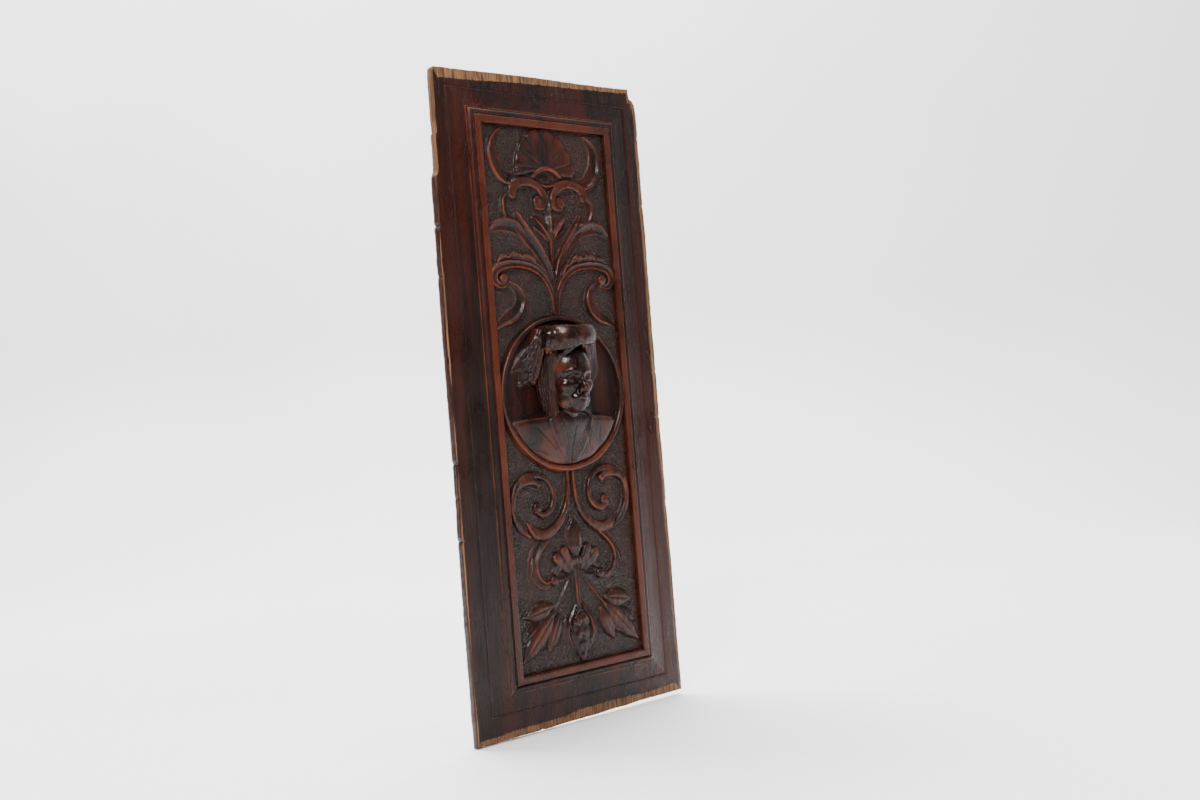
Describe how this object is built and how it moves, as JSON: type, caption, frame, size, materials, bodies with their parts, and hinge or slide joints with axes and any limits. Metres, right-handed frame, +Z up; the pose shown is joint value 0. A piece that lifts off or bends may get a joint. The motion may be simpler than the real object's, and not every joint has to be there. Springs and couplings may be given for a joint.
{
  "type": "carved wall panel",
  "caption": "Tall carved oak panel with a raised moulded border round a sunk field of scrolls, leaves and a shell, and a capped bust in a ring; hung or framed by its flat back.",
  "frame": {"origin": "on the flat back face, behind the middle of the raised rectangular border", "axes": "+X to the viewer's right across the panel, +Y back into the wall, +Z up along the panel's height; the carving faces -Y"},
  "size_m": [0.2414, 0.0472, 0.5903],
  "materials": {
    "stained_oak": "dark stained and waxed oak, worn red-brown on the high edges, bare along the outer rim"
  },
  "bodies": {
    "root": {"carved_panel": "stained_oak"}
  },
  "joints": []
}
